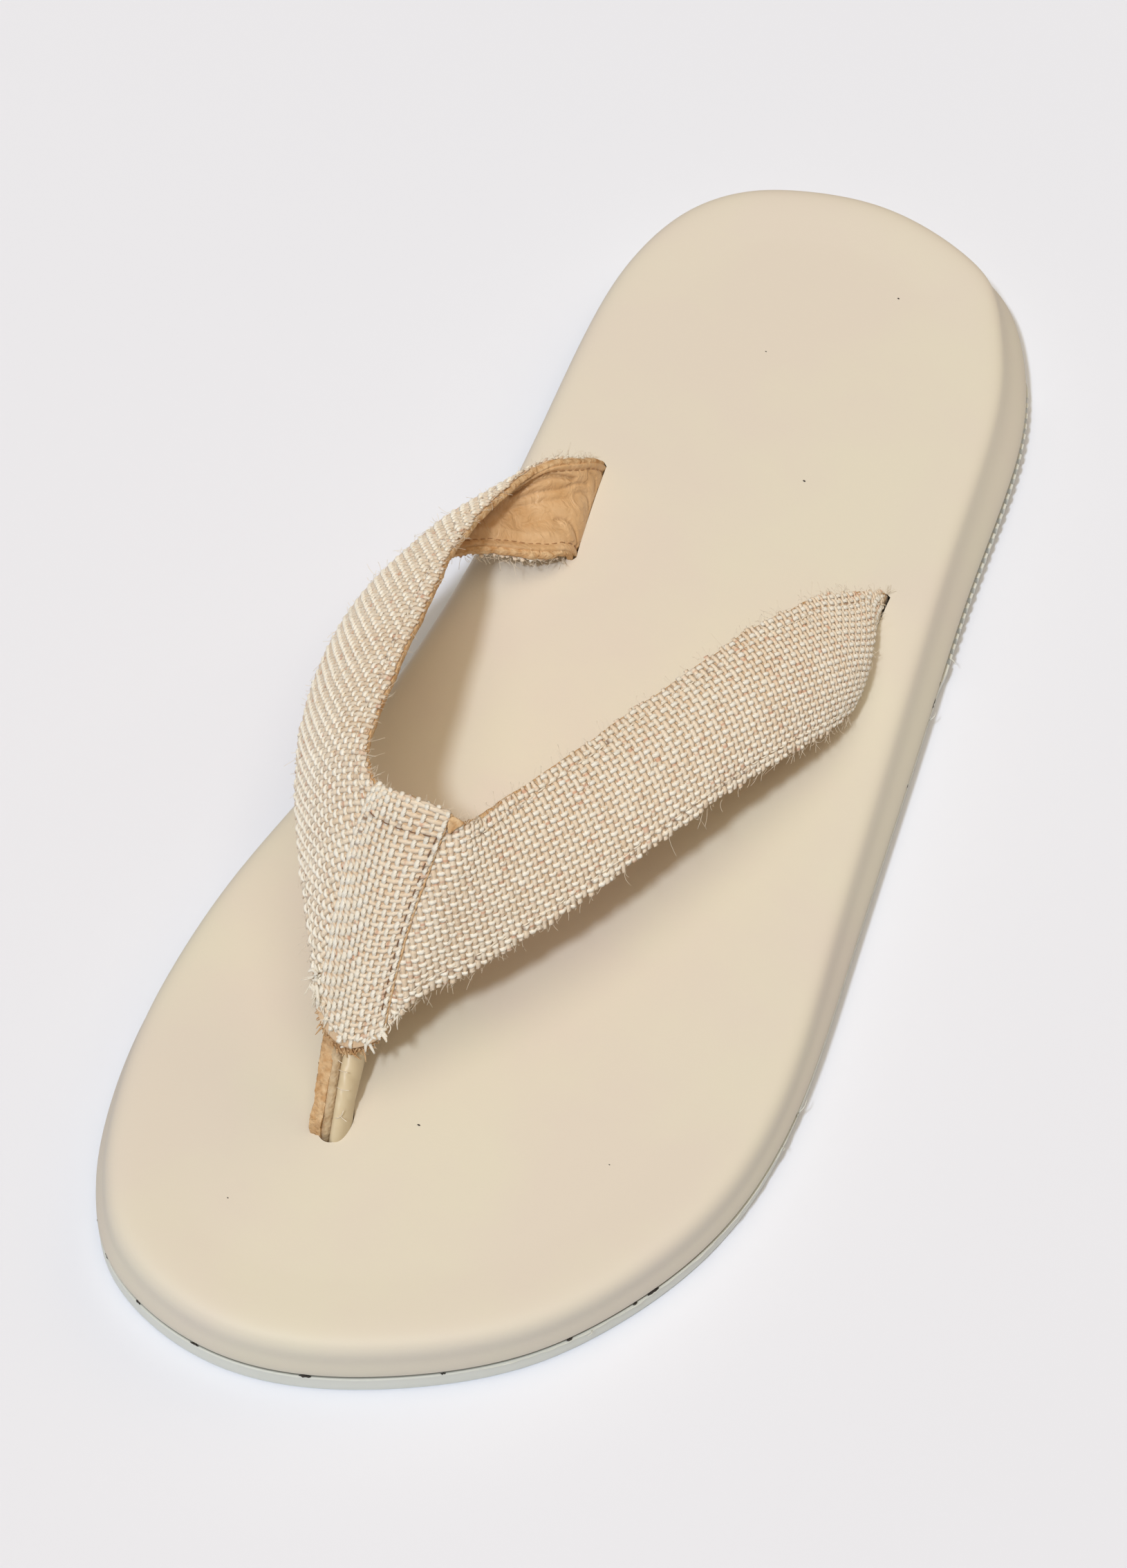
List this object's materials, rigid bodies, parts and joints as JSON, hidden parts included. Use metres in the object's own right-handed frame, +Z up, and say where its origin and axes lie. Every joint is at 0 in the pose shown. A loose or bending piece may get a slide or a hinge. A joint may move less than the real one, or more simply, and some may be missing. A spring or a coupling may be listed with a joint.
{
  "type": "thong sandal",
  "caption": "Left thong sandal with a woven V strap, a rolled leather toe post and a moulded foam footbed on a thin rubber outsole.",
  "frame": {"origin": "on the ground, under the middle of the sole's bounding box", "axes": "+Y from heel to toe, +X to the big-toe side, +Z up"},
  "size_m": [0.1176, 0.285, 0.0724],
  "materials": {
    "footbed": "matte moulded foam, sand beige",
    "outsole": "matte, pale grey white",
    "strap": "coarse plain weave of off-white and tan yarns over tan leather",
    "strap_patch": "coarse plain weave of off-white and tan yarns",
    "toe_post": "satin tan leather with raw edges"
  },
  "bodies": {
    "root": {"footbed": "footbed", "outsole": "outsole", "strap": "strap", "strap_patch": "strap_patch", "toe_post": "toe_post"}
  },
  "joints": []
}
